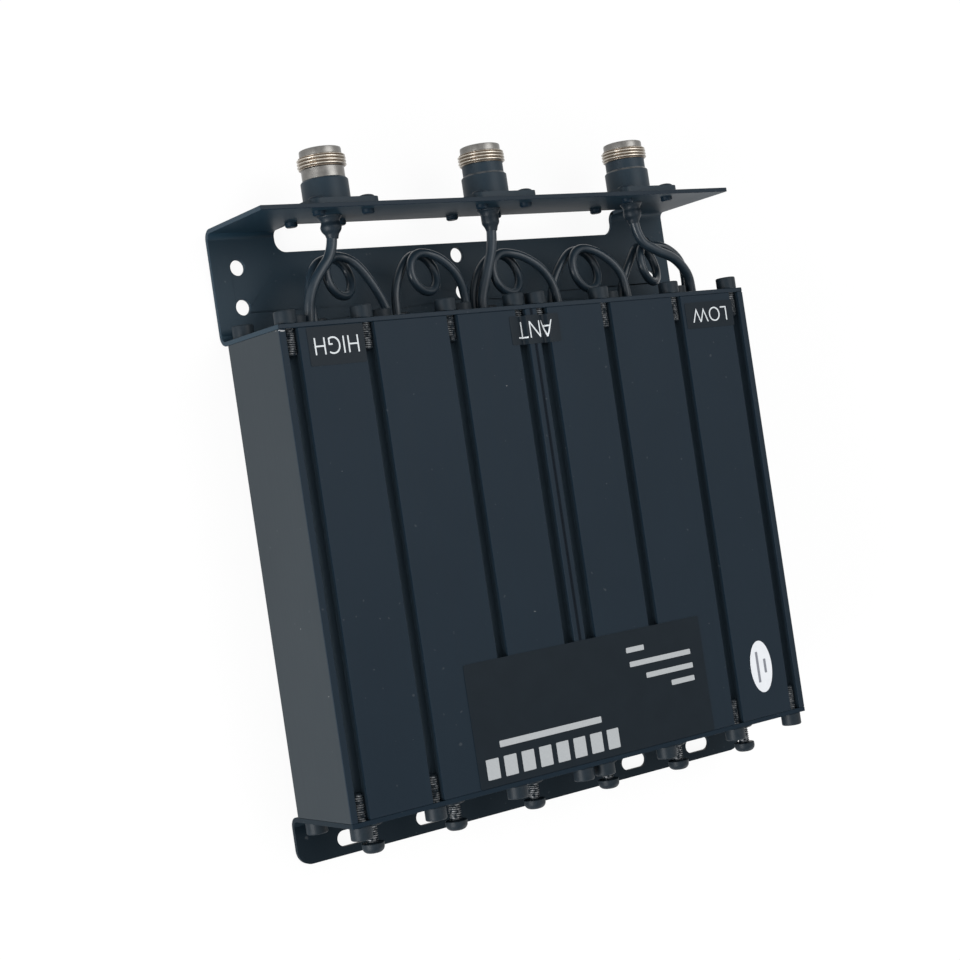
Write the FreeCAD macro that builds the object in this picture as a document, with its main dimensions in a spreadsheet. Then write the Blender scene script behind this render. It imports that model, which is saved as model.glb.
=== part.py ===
import FreeCAD, Part
import math
import os

import Sketcher
from FreeCAD import Placement, Rotation, Vector

# A six-cavity notch duplexer, lying on its back.
# X runs to the right seen from the front, Y towards the three sockets, Z out of the front face.
# The origin is on the brackets' back plane, at the centre of the top bracket's mounting holes.

# Driving dimensions in millimetres.
sizes = {
    # two extruded resonator blocks, three cavities each
    "block_width": 96.0,
    "block_length": 152.5,
    "block_depth": 34.4,
    "cavity_pitch": 32.0,
    "outer_wall": 2.2,
    "rib_wall": 2.2,
    "channel_edge": 4.5,
    "channel_inset": 3.1,
    "channel_wall": 1.6,
    # folded sheet brackets
    "sheet": 1.5,
    "bend_radius": 2.0,
    "standoff": 5.1,
    "lip_rise": 38.2,
    "skirt_drop": 16.2,
    "skirt_corner": 5.0,
    # openings of the top bracket's back
    "mount_hole_diameter": 5.2,
    "mount_hole_edge": 9.5,
    "hole_row_rise": 12.4,
    "hole_row_spacing": 13.0,
    "window_edge": 24.5,
    "window_drop": 8.5,
    "window_depth": 12.4,
    "window_corner": 4.0,
    # slots of the bottom bracket's skirt
    "slot_length": 11.5,
    "slot_width": 5.2,
    "slot_drop": 10.8,
    "inner_slot_edge": 51.4,
    "outer_slot_edge": 20.7,
    # socket head screws
    "screw_diameter": 4.2,
    "screw_length": 12.0,
    "screw_head_diameter": 7.0,
    "screw_head_height": 4.2,
    "screw_head_round": 0.5,
    "screw_key": 3.2,
    "screw_key_depth": 2.2,
    "screw_hole_gap": 0.25,
    "fit_gap": 0.05,
    # tuning screws and lock nuts
    "tuning_diameter": 4.0,
    "tuning_inside": 26.0,
    "tuning_standout": 12.0,
    "tuning_head_diameter": 7.3,
    "tuning_head_height": 3.2,
    "tuning_head_round": 2.0,
    "tuning_slot_width": 0.9,
    "tuning_slot_depth": 1.1,
    "nut_flats": 7.0,
    "nut_height": 3.2,
    # resonator rods
    "rod_diameter": 7.0,
    "rod_end_gap": 16.5,
    "rod_bore_diameter": 5.4,
    "rod_bore_depth": 20.0,
    # panel sockets with a 5/8 inch thread
    "socket_spacing": 63.0,
    "socket_depth": 24.1,
    "flange_width": 25.4,
    "flange_thickness": 2.2,
    "flange_corner": 3.0,
    "shell_diameter": 15.5,
    "shell_top": 10.4,
    "shell_chamfer": 0.7,
    "shell_fillet": 1.2,
    "neck_diameter": 14.0,
    "thread_diameter": 15.875,
    "thread_start": 13.9,
    "thread_length": 3.9,
    "lead_diameter": 13.7,
    "lead_chamfer": 0.6,
    "socket_height": 20.2,
    "bore_diameter": 8.4,
    "bore_floor": 5.0,
    "insulator_length": 4.0,
    "spigot_diameter": 5.2,
    "spigot_drop": 3.0,
    "spigot_bore": 3.8,
    "contact_diameter": 3.1,
    "contact_tail": 1.5,
    "contact_recess": 4.9,
    "contact_hole": 1.7,
    "contact_hole_depth": 6.0,
    "contact_slot": 0.4,
    # rivets of the flanges
    "rivet_pitch": 18.26,
    "rivet_shank": 3.1,
    "rivet_head_diameter": 5.6,
    "rivet_head_height": 1.1,
    "rivet_head_round": 0.9,
    "rivet_tail_diameter": 4.1,
    "rivet_tail_height": 1.45,
    "rivet_tail_round": 0.5,
    # cables and their boots
    "port_cable_diameter": 3.5,
    "jumper_diameter": 3.0,
    "cable_hole_gap": 0.1,
    "boot_diameter": 7.9,
    "boot_collar": 0.9,
    "boot_collar_taper": 0.5,
    "boot_waist": 6.1,
    "boot_waist_drop": 2.0,
    "boot_bulge_drop": 3.5,
    "boot_bulge_end": 4.8,
    "boot_neck_wall": 0.4,
    "boot_neck_length": 1.0,
    "boot_length": 7.4,
    "boot_edge": 0.15,
    "coupling_wire": 1.2,
}

doc = FreeCAD.newDocument("duplexer")
sheet = doc.addObject("Spreadsheet::Sheet", "Sizes")
for row, (alias, number) in enumerate(sizes.items(), start=1):
    sheet.set(f"A{row}", alias)
    sheet.set(f"B{row}", str(number))
    sheet.setAlias(f"B{row}", alias)
doc.recompute()

finished = []


class Size:
    """A length that follows the sheet: the expression that binds it, and its present value."""

    def __init__(self, text, number):
        self.text = text
        self.number = number

    def __float__(self):
        return self.number

    def __neg__(self):
        return Size(f"(-{self.text})", -self.number)

    def __add__(self, other):
        other = as_size(other)
        return Size(f"({self.text} + {other.text})", self.number + other.number)

    def __radd__(self, other):
        return as_size(other) + self

    def __sub__(self, other):
        other = as_size(other)
        return Size(f"({self.text} - {other.text})", self.number - other.number)

    def __rsub__(self, other):
        return as_size(other) - self

    def __mul__(self, other):
        other = as_size(other)
        return Size(f"({self.text} * {other.text})", self.number * other.number)

    def __rmul__(self, other):
        return as_size(other) * self

    def __truediv__(self, other):
        other = as_size(other)
        return Size(f"({self.text} / {other.text})", self.number / other.number)


def as_size(length):
    """A plain number as a Size, so that both can be bound the same way."""
    if isinstance(length, Size):
        return length
    return Size(f"({float(length)})", float(length))


def size(alias):
    return Size(f"Sizes.{alias}", float(sheet.get(alias)))


def bind(thing, name, length):
    thing.setExpression(name, as_size(length).text)


def place(thing, x=0, y=0, z=0):
    for letter, length in zip("xyz", (x, y, z)):
        bind(thing, f"Placement.Base.{letter}", length)


# Places that several pieces share.
back = size("standoff")
front = back + size("block_depth")
block_top = -(size("hole_row_rise") + size("hole_row_spacing") / 2)
block_bottom = block_top - size("block_length")
plate_top = block_top + size("sheet")
plate_bottom = block_bottom - size("sheet")
lip_top = block_top + size("lip_rise")
lip_under = lip_top - size("sheet")
cavity_depth = back + size("block_depth") / 2
screw_rows = (front - size("channel_inset"), back + size("channel_inset"))
channel_radius = size("screw_diameter") / 2 + size("fit_gap")
block_middles = (-(size("block_width") / 2), size("block_width") / 2)
cavity_places = [middle + step * size("cavity_pitch") for middle in block_middles for step in (-1, 0, 1)]
socket_places = {"high": -size("socket_spacing"), "ant": size("socket_spacing") * 0, "low": size("socket_spacing")}
rivet_side = size("rivet_pitch") / 2


def channel_places(middle):
    """The four screw channels across one block."""
    half = size("block_width") / 2
    return (
        middle - half + size("channel_edge"),
        middle - size("cavity_pitch") / 2,
        middle + size("cavity_pitch") / 2,
        middle + half - size("channel_edge"),
    )


screw_places = [(x, z) for middle in block_middles for x in channel_places(middle) for z in screw_rows]

# Port cables: how far each runs straight out of its socket, the cavity that it enters, and the points between,
# as x from that cavity's middle, height above the top end plate, and z from the cavities' middle.
port_cable_routes = {
    "high": {"straight": 8.0, "cavity": 1,
             "points": [(9.8, 16.5, 1.1), (6.4, 10.5, 0.3), (5.5, 3.5, -0.7), (5.5, -2.5, -0.7)]},
    "ant": {"straight": 8.0, "cavity": 3,
            "points": [(12.4, 13.5, 0.3), (10.4, 7.0, -0.9), (9.6, 2.5, -1.3), (9.6, -2.5, -1.3)]},
    "low": {"straight": 10.0, "cavity": 6,
            "points": [(-8.5, 17.3, 2.4), (0.0, 14.5, 1.9), (6.0, 8.5, 0.9), (7.0, 3.0, 0.2), (7.0, -2.5, 0.2)]},
}

# Jumper cables, each from one cavity to the next. The run that rises has its x from the first cavity's middle,
# the curl's centre from the rib between both, and the run that falls from the second cavity's middle.
jumper_routes = [
    {"rise": [(8.5, -2.5, -3.1), (8.5, 4.0, -3.1), (8.6, 12.5, -4.0), (12.0, 20.5, -4.8)],
     "centre": (3.4, 16.4), "curl": (-4.9, -1.4),
     "fall": [(-5.2, 20.3, -1.2), (0.8, 11.5, -1.6), (5.0, 3.0, -2.7), (5.0, -2.5, -2.7)]},
    {"rise": [(9.4, -2.5, -5.0), (9.4, 4.0, -5.0), (10.2, 11.0, -5.1), (13.6, 18.0, -5.0)],
     "centre": (4.6, 15.8), "curl": (-4.9, -1.4),
     "fall": [(-3.0, 19.8, -1.3), (2.6, 13.6, -2.0), (5.1, 5.0, -3.8), (5.1, -2.5, -3.8)]},
    {"rise": [(8.9, -2.5, -5.1), (8.9, 3.5, -5.1), (10.0, 10.0, -5.1), (13.6, 16.6, -4.9)],
     "centre": (6.8, 14.1), "curl": (-4.7, -1.2),
     "fall": [(-0.5, 18.6, -0.9), (5.8, 13.5, -0.5), (9.5, 5.5, -0.3), (9.5, -2.5, -0.3)]},
    {"rise": [(9.4, -2.5, -4.3), (9.4, 3.5, -4.3), (12.0, 10.5, -4.4), (17.0, 16.8, -4.6)],
     "centre": (9.5, 13.9), "curl": (-4.6, -1.0),
     "fall": [(2.0, 17.4, -0.5), (7.3, 11.5, -0.3), (8.9, 4.5, -0.3), (8.9, -2.5, -0.3)]},
    {"rise": [(9.1, -2.5, -4.3), (9.1, 3.5, -4.3), (12.0, 10.0, -4.5), (16.8, 16.2, -4.9)],
     "centre": (7.1, 13.1), "curl": (-5.2, -1.7),
     "fall": [(-0.7, 18.0, -1.6), (4.8, 12.8, -2.4), (7.4, 5.0, -3.8), (7.4, -2.5, -3.8)]},
]
curl_radius = 6.6
curl_corners = 8

# How far each boot bulges over the end of the socket's spigot.
boot_bulges = {"high": 0.45, "ant": 0.0, "low": 0.2}


def above_plate(anchor, point):
    """A cable's point, given as x from an anchor, height above the top end plate and z from the cavities' middle."""
    x, rise, z = point
    return (float(anchor) + x, float(plate_top) + rise, float(cavity_depth) + z)


def port_cable_points(port):
    """Straight out of the socket, then along the route into the cavity."""
    route = port_cable_routes[port]
    start = float(lip_under - size("spigot_drop"))
    x, z = float(socket_places[port]), float(size("socket_depth"))
    anchor = cavity_places[route["cavity"] - 1]
    inside = [above_plate(anchor, point) for point in route["points"]]
    return [(x, start, z), (x, start - route["straight"], z)] + inside


def jumper_points(number):
    """The rising run, one full turn about the curl's centre from its top, and the falling run."""
    route = jumper_routes[number - 1]
    first, second = cavity_places[number - 1], cavity_places[number]
    centre_x, centre_rise = route["centre"]
    first_z, last_z = route["curl"]
    reach = curl_radius / math.cos(math.pi / curl_corners)
    turn_points = []
    for step in range(curl_corners + 2):
        angle = math.pi / 2 + math.pi / curl_corners - 2 * math.pi * step / curl_corners
        z = first_z + (last_z - first_z) * step / (curl_corners + 1)
        turn_points.append((centre_x + reach * math.cos(angle), centre_rise + reach * math.sin(angle), z))
    return ([above_plate(first, point) for point in route["rise"]]
            + [above_plate((first + second) / 2, point) for point in turn_points]
            + [above_plate(second, point) for point in route["fall"]])


# Coupling wires: which cable ends each cavity's wire joins, and their heights above the top end plate.
cable_ends = {port: port_cable_points(port)[-1] for port in port_cable_routes}
for number in range(1, len(jumper_routes) + 1):
    cable_ends[f"jumper_{number}_start"] = jumper_points(number)[0]
    cable_ends[f"jumper_{number}_end"] = jumper_points(number)[-1]
coupled_ends = [("high", "jumper_1_start")]
coupled_ends += [(f"jumper_{number}_end", f"jumper_{number + 1}_start") for number in range(1, 5)]
coupled_ends += [("jumper_5_end", "low")]
coupling_rises = {"end": -2.5, "neck": -5.0, "shoulder": -9.0, "bottom": -24.0}
coupling_spread = 1.5
coupling_bow = 0.2
coupling_sag = 0.5
port_wire_rises = (-2.5, -7.0, -12.5)

# How far a cutting outline runs past the face that it opens, and the share of a run that a tube's arc may take.
cut_margin = 1.0
arc_share = 0.45
tolerance = 1e-5


def new_body(name):
    body = doc.addObject("PartDesign::Body", name)
    body.Label = name
    finished.append(body)
    return body


def new_sketch(body, role, offset=0):
    """A sketch on one of the body's own planes, moved along the plane's normal."""
    sketch = body.newObject("Sketcher::SketchObject", "Sketch")
    plane = next(feature for feature in body.Origin.OriginFeatures if feature.Role == role)
    sketch.AttachmentSupport = (plane, [""])
    sketch.MapMode = "FlatFace"
    bind(sketch, "AttachmentOffset.Base.z", offset)
    return sketch


def fix_point(sketch, geometry, point, x, y):
    """Holds one point of a sketch at two bound distances from the origin."""
    for kind, length in (("DistanceX", x), ("DistanceY", y)):
        number = float(length)
        index = sketch.addConstraint(Sketcher.Constraint(kind, -1, 1, geometry, point, number))
        bind(sketch, f"Constraints[{index}]", length)


def add_outline(sketch, corners):
    """A closed outline of straight edges through the given corners."""
    first = sketch.GeometryCount
    count = len(corners)
    vectors = [Vector(float(x), float(y), 0) for x, y in corners]
    for index in range(count):
        sketch.addGeometry(Part.LineSegment(vectors[index], vectors[(index + 1) % count]))
    for index in range(count):
        following = first + (index + 1) % count
        sketch.addConstraint(Sketcher.Constraint("Coincident", first + index, 2, following, 1))
    for index, (x, y) in enumerate(corners):
        fix_point(sketch, first + index, 1, x, y)


def add_rectangle(sketch, left, bottom, right, top):
    add_outline(sketch, [(left, bottom), (right, bottom), (right, top), (left, top)])


def add_circle(sketch, x, y, radius):
    circle = Part.Circle(Vector(float(x), float(y), 0), Vector(0, 0, 1), float(radius))
    index = sketch.addGeometry(circle)
    fix_point(sketch, index, 3, x, y)
    held = sketch.addConstraint(Sketcher.Constraint("Radius", index, float(radius)))
    bind(sketch, f"Constraints[{held}]", radius)


def add_slot(sketch, x, y, length, width):
    """A level slot with round ends."""
    radius = width / 2
    reach = length / 2 - radius
    middle = Vector(float(x), float(y), 0)
    across = Vector(float(reach), 0, 0)
    up = Vector(0, float(radius), 0)
    right_turn = (-math.pi / 2, math.pi / 2)
    left_turn = (math.pi / 2, 3 * math.pi / 2)
    axis = Vector(0, 0, 1)
    right = sketch.addGeometry(Part.ArcOfCircle(Part.Circle(middle + across, axis, float(radius)), *right_turn))
    top = sketch.addGeometry(Part.LineSegment(middle + across + up, middle - across + up))
    left = sketch.addGeometry(Part.ArcOfCircle(Part.Circle(middle - across, axis, float(radius)), *left_turn))
    bottom = sketch.addGeometry(Part.LineSegment(middle - across - up, middle + across - up))
    for one, other in ((right, top), (top, left), (left, bottom), (bottom, right)):
        sketch.addConstraint(Sketcher.Constraint("Tangent", one, 2, other, 1))
    fix_point(sketch, right, 3, x + reach, y)
    fix_point(sketch, left, 3, x - reach, y)
    held = sketch.addConstraint(Sketcher.Constraint("Radius", right, float(radius)))
    bind(sketch, f"Constraints[{held}]", radius)


def pad(body, sketch, length):
    feature = body.newObject("PartDesign::Pad", "Pad")
    feature.Profile = sketch
    bind(feature, "Length", length)
    doc.recompute()
    return feature


def pocket(body, sketch, depth, along_normal=False):
    """Cuts to a depth against the sketch's normal, or along it, and stops if nothing was cut."""
    before = body.Shape.Volume
    feature = body.newObject("PartDesign::Pocket", "Pocket")
    feature.Profile = sketch
    feature.Reversed = along_normal
    bind(feature, "Length", depth)
    doc.recompute()
    if body.Shape.Volume > before - 1e-6:
        raise RuntimeError(f"a pocket of {body.Label} cuts nothing")


def turn(body, corners, cut=False):
    """Turns an outline of radius and height corners about the body's own Y axis."""
    sketch = new_sketch(body, "XY_Plane")
    add_outline(sketch, corners)
    feature = body.newObject("PartDesign::Groove" if cut else "PartDesign::Revolution", "Turned")
    feature.Profile = sketch
    feature.ReferenceAxis = (sketch, ["V_Axis"])
    feature.Angle = 360
    doc.recompute()


def straight_edges(shape, axis, points):
    """Names of the straight edges along one axis (0, 1 or 2) that pass through the given points."""
    names = []
    others = [index for index in range(3) if index != axis]
    for number, edge in enumerate(shape.Edges, start=1):
        ends = [vertex.Point for vertex in edge.Vertexes]
        if not isinstance(edge.Curve, Part.Line) or len(ends) != 2:
            continue
        for point in points:
            wanted = [float(length) for length in point]
            if all(abs(end[others[side]] - wanted[side]) < tolerance for end in ends for side in (0, 1)):
                names.append(f"Edge{number}")
    return names


def round_edge(shape, radius, height):
    """The name of the circle of a turned body at one radius and height."""
    for number, edge in enumerate(shape.Edges, start=1):
        curve = edge.Curve
        if isinstance(curve, Part.Circle) and abs(curve.Radius - float(radius)) < tolerance:
            if abs(curve.Center.y - float(height)) < tolerance:
                return f"Edge{number}"
    raise RuntimeError("no such edge")


def dress(body, kind, names, length):
    """Fillets or chamfers the named edges of the body's last feature."""
    feature = body.newObject(f"PartDesign::{kind}", kind)
    feature.Base = (body.Group[-2], names)
    bind(feature, "Radius" if kind == "Fillet" else "Size", length)
    doc.recompute()


def resonator_block(name, middle):
    """An extrusion: three cavities side by side, and open screw channels along both faces."""
    left = middle - size("block_width") / 2
    right = middle + size("block_width") / 2
    body = new_body(name)
    outside = new_sketch(body, "XZ_Plane", -block_top)
    add_rectangle(outside, left, back, right, front)
    pad(body, outside, size("block_length"))

    channels = new_sketch(body, "XZ_Plane", -block_top)
    bottoms = new_sketch(body, "XZ_Plane", -block_top)
    for x in channel_places(middle):
        for axis, mouth in ((screw_rows[0], front + cut_margin), (screw_rows[1], back - cut_margin)):
            low, high = sorted((axis, mouth), key=float)
            add_rectangle(channels, x - channel_radius, low, x + channel_radius, high)
            add_circle(bottoms, x, axis, channel_radius)
    pocket(body, channels, size("block_length"), along_normal=True)
    pocket(body, bottoms, size("block_length"), along_normal=True)

    shoulder = channel_radius + size("channel_wall")
    low = back + size("outer_wall")
    high = front - size("outer_wall")
    low_shoulder = screw_rows[1] + shoulder
    high_shoulder = screw_rows[0] - shoulder
    cavities = new_sketch(body, "XZ_Plane", -block_top)
    for step in (-1, 0, 1):
        place_x = middle + step * size("cavity_pitch")
        west = place_x - size("cavity_pitch") / 2 + size("rib_wall") / 2
        east = place_x + size("cavity_pitch") / 2 - size("rib_wall") / 2
        west_shoulder = place_x - size("cavity_pitch") / 2 + shoulder
        east_shoulder = place_x + size("cavity_pitch") / 2 - shoulder
        if step == -1:
            west = left + size("outer_wall")
            west_shoulder = left + size("channel_edge") + shoulder
        if step == 1:
            east = right - size("outer_wall")
            east_shoulder = right - size("channel_edge") - shoulder
        add_outline(cavities, [
            (west_shoulder, low), (east_shoulder, low), (east_shoulder, low_shoulder), (east, low_shoulder),
            (east, high_shoulder), (east_shoulder, high_shoulder), (east_shoulder, high), (west_shoulder, high),
            (west_shoulder, high_shoulder), (west, high_shoulder), (west, low_shoulder),
            (west_shoulder, low_shoulder),
        ])
    pocket(body, cavities, size("block_length"), along_normal=True)


def top_bracket():
    """One folded sheet: end plate, back web with its window, and the lip that carries the sockets."""
    width = size("block_width") * 2
    body = new_body("top_bracket")
    section = new_sketch(body, "YZ_Plane", -(width / 2))
    thick = size("sheet")
    add_outline(section, [
        (block_top, front), (block_top, 0), (lip_top, 0), (lip_top, front),
        (lip_under, front), (lip_under, thick), (plate_top, thick), (plate_top, front),
    ])
    pad(body, section, width)
    outer_bends = straight_edges(body.Shape, 0, [(block_top, 0), (lip_top, 0)])
    dress(body, "Fillet", outer_bends, size("bend_radius") + thick)
    inner_bends = straight_edges(body.Shape, 0, [(lip_under, thick), (plate_top, thick)])
    dress(body, "Fillet", inner_bends, size("bend_radius"))

    half = width / 2 - size("window_edge")
    floor = lip_top - size("window_drop")
    window = new_sketch(body, "XY_Plane")
    add_rectangle(window, -half, floor, half, lip_top + cut_margin)
    pocket(body, window, size("window_depth"), along_normal=True)
    dress(body, "Fillet", straight_edges(body.Shape, 2, [(-half, floor), (half, floor)]), size("window_corner"))

    mounting = new_sketch(body, "XY_Plane")
    hole_side = width / 2 - size("mount_hole_edge")
    for x in (-hole_side, hole_side * 0, hole_side):
        for y in (-(size("hole_row_spacing") / 2), size("hole_row_spacing") / 2):
            add_circle(mounting, x, y, size("mount_hole_diameter") / 2)
    pocket(body, mounting, thick * 2, along_normal=True)

    plate_holes = new_sketch(body, "XZ_Plane", -block_top)
    for x, z in screw_places + [(x, cavity_depth) for x in cavity_places]:
        add_circle(plate_holes, x, z, size("screw_diameter") / 2 + size("screw_hole_gap"))
    for name, (x, _, z) in cable_ends.items():
        cable = size("jumper_diameter") if name.startswith("jumper") else size("port_cable_diameter")
        add_circle(plate_holes, x, z, cable / 2 + size("cable_hole_gap"))
    pocket(body, plate_holes, thick * 2)

    lip_holes = new_sketch(body, "XZ_Plane", -lip_top)
    for x in socket_places.values():
        add_circle(lip_holes, x, size("socket_depth"), size("spigot_diameter") / 2 + size("fit_gap"))
        for side in (-rivet_side, rivet_side):
            for step in (-rivet_side, rivet_side):
                hole = size("rivet_shank") / 2 + size("fit_gap")
                add_circle(lip_holes, x + side, size("socket_depth") + step, hole)
    pocket(body, lip_holes, thick * 2, along_normal=True)


def bottom_bracket():
    """One folded sheet: end plate and a slotted skirt with rounded corners."""
    width = size("block_width") * 2
    thick = size("sheet")
    skirt_end = block_bottom - size("skirt_drop")
    body = new_body("bottom_bracket")
    section = new_sketch(body, "YZ_Plane", -(width / 2))
    add_outline(section, [
        (block_bottom, 0), (block_bottom, front), (plate_bottom, front),
        (plate_bottom, thick), (skirt_end, thick), (skirt_end, 0),
    ])
    pad(body, section, width)
    dress(body, "Fillet", straight_edges(body.Shape, 0, [(block_bottom, 0)]), size("bend_radius") + thick)
    dress(body, "Fillet", straight_edges(body.Shape, 0, [(plate_bottom, thick)]), size("bend_radius"))
    corners = straight_edges(body.Shape, 2, [(-(width / 2), skirt_end), (width / 2, skirt_end)])
    dress(body, "Fillet", corners, size("skirt_corner"))

    slots = new_sketch(body, "XY_Plane")
    for edge in (size("inner_slot_edge"), size("outer_slot_edge")):
        for x in (edge - width / 2, width / 2 - edge):
            add_slot(slots, x, block_bottom - size("slot_drop"), size("slot_length"), size("slot_width"))
    pocket(body, slots, thick * 2, along_normal=True)

    holes = new_sketch(body, "XZ_Plane", -block_bottom)
    for x, z in screw_places:
        add_circle(holes, x, z, size("screw_diameter") / 2 + size("screw_hole_gap"))
    for x in cavity_places:
        add_circle(holes, x, cavity_depth, size("tuning_diameter") / 2 + size("fit_gap"))
    pocket(body, holes, thick * 2, along_normal=True)


def resonator_rod(name, x):
    """A quarter-wave rod, tapped at its fixed end and bored at its free end."""
    radius = size("rod_diameter") / 2
    bore = size("rod_bore_diameter") / 2
    tapped = size("screw_diameter") / 2 + size("fit_gap")
    free = size("rod_end_gap") - size("block_length")
    body = new_body(name)
    turn(body, [
        (0, free + size("rod_bore_depth")), (bore, free + size("rod_bore_depth")), (bore, free),
        (radius, free), (radius, 0), (tapped, 0), (tapped, -size("screw_length")), (0, -size("screw_length")),
    ])
    place(body, x, block_top, cavity_depth)


def tuning_screw(name, x):
    """A pan head screw with a crossed recess; its shank enters the rod's bore."""
    shank = size("tuning_diameter") / 2
    head = size("tuning_head_diameter") / 2
    end = -size("tuning_standout")
    seat = end + size("tuning_head_height")
    body = new_body(name)
    turn(body, [
        (0, size("tuning_inside")), (0, end), (head, end), (head, seat),
        (shank, seat), (shank, size("tuning_inside")),
    ])
    dress(body, "Fillet", [round_edge(body.Shape, head, end)], size("tuning_head_round"))
    half = size("tuning_slot_width") / 2
    reach = head / 2
    recess = new_sketch(body, "XZ_Plane", -end)
    add_outline(recess, [
        (-reach, -half), (-half, -half), (-half, -reach), (half, -reach), (half, -half), (reach, -half),
        (reach, half), (half, half), (half, reach), (-half, reach), (-half, half), (-reach, half),
    ])
    pocket(body, recess, size("tuning_slot_depth"))
    place(body, x, plate_bottom, cavity_depth)


def socket(port, x):
    """A panel socket: square flange, turned shell with its thread's outside, and a rear spigot."""
    body = new_body(f"socket_body_{port}")
    half = size("flange_width") / 2
    flange = new_sketch(body, "XZ_Plane")
    add_rectangle(flange, -half, -half, half, half)
    plate = pad(body, flange, size("flange_thickness"))
    plate.Reversed = True
    doc.recompute()
    corners = [(-half, -half), (-half, half), (half, -half), (half, half)]
    dress(body, "Fillet", straight_edges(body.Shape, 1, corners), size("flange_corner"))

    holes = new_sketch(body, "XZ_Plane")
    for side in (-rivet_side, rivet_side):
        for step in (-rivet_side, rivet_side):
            add_circle(holes, side, step, size("rivet_shank") / 2 + size("fit_gap"))
    pocket(body, holes, size("flange_thickness") * 2)

    spigot = size("spigot_diameter") / 2
    spigot_end = -(size("sheet") + size("spigot_drop"))
    shell = size("shell_diameter") / 2
    neck = size("neck_diameter") / 2
    thread = size("thread_diameter") / 2
    lead = size("lead_diameter") / 2
    thread_end = size("thread_start") + size("thread_length")
    turn(body, [
        (0, spigot_end), (spigot, spigot_end), (spigot, 0), (shell, 0), (shell, size("shell_top")),
        (neck, size("shell_top")), (neck, size("thread_start")), (thread, size("thread_start")),
        (thread, thread_end), (lead, thread_end), (lead, size("socket_height")), (0, size("socket_height")),
    ])
    bore = size("bore_diameter") / 2
    turn(body, [
        (0, spigot_end - cut_margin), (size("spigot_bore") / 2, spigot_end - cut_margin),
        (size("spigot_bore") / 2, size("bore_floor")), (bore, size("bore_floor")),
        (bore, size("socket_height") + cut_margin), (0, size("socket_height") + cut_margin),
    ], cut=True)
    dress(body, "Fillet", [round_edge(body.Shape, shell, size("flange_thickness"))], size("shell_fillet"))
    dress(body, "Chamfer", [round_edge(body.Shape, shell, size("shell_top"))], size("shell_chamfer"))
    rims = [round_edge(body.Shape, radius, size("socket_height")) for radius in (lead, bore)]
    dress(body, "Chamfer", rims, size("lead_chamfer"))
    place(body, x, lip_top, size("socket_depth"))


def socket_insulator(port, x):
    """The white dielectric that holds the centre contact."""
    tail = size("contact_tail") / 2
    contact = size("contact_diameter") / 2
    rear = -(size("sheet") + size("spigot_drop"))
    floor = size("bore_floor")
    face = floor + size("insulator_length")
    body = new_body(f"socket_insulator_{port}")
    turn(body, [
        (tail, rear), (size("spigot_bore") / 2, rear), (size("spigot_bore") / 2, floor),
        (size("bore_diameter") / 2, floor), (size("bore_diameter") / 2, face), (contact, face),
        (contact, floor), (tail, floor),
    ])
    place(body, x, lip_top, size("socket_depth"))


def socket_contact(port, x):
    """The centre contact: a thin tail, and a slotted sleeve that grips the mating pin."""
    tail = size("contact_tail") / 2
    contact = size("contact_diameter") / 2
    hole = size("contact_hole") / 2
    rear = -(size("sheet") + size("spigot_drop"))
    tip = size("socket_height") - size("contact_recess")
    bottom = tip - size("contact_hole_depth")
    body = new_body(f"socket_contact_{port}")
    turn(body, [
        (0, rear), (tail, rear), (tail, size("bore_floor")), (contact, size("bore_floor")),
        (contact, tip), (hole, tip), (hole, bottom), (0, bottom),
    ])
    half = size("contact_slot") / 2
    slots = new_sketch(body, "XZ_Plane", -tip)
    add_rectangle(slots, -contact - cut_margin, -half, contact + cut_margin, half)
    pocket(body, slots, size("contact_hole_depth"), along_normal=True)
    place(body, x, lip_top, size("socket_depth"))


def boot(port, x, bulge):
    """A shrink boot over the spigot and the first stretch of the port cable."""
    cable = size("port_cable_diameter") / 2
    spigot = size("spigot_diameter") / 2
    collar = size("boot_diameter") / 2
    waist = size("boot_waist") / 2
    end = -size("boot_length")
    body = new_body(f"boot_{port}")
    turn(body, [
        (spigot, 0), (collar, 0), (collar - size("boot_collar_taper"), -size("boot_collar")),
        (waist, -size("boot_waist_drop")), (waist + bulge, -size("boot_bulge_drop")),
        (waist + bulge / 2, -size("boot_bulge_end")),
        (cable + size("boot_neck_wall"), end + size("boot_neck_length")), (cable + size("boot_edge"), end),
        (cable, end), (cable, -size("spigot_drop")), (spigot, -size("spigot_drop")),
    ])
    place(body, x, lip_under, size("socket_depth"))


def add_group(name, master, places, rotation=Rotation()):
    """Copies of one master piece as separate solids of one node."""
    feature = doc.addObject("Part::Feature", name)
    feature.Label = name
    copies = []
    for point in places:
        copy = master.Shape.copy()
        copy.Placement = Placement(Vector(*[float(length) for length in point]), rotation)
        copies.append(copy)
    feature.Shape = Part.makeCompound(copies)
    finished.append(feature)


def master_body(name):
    """A body that only serves as a pattern for a group of fasteners."""
    body = new_body(name)
    finished.remove(body)
    return body


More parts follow.
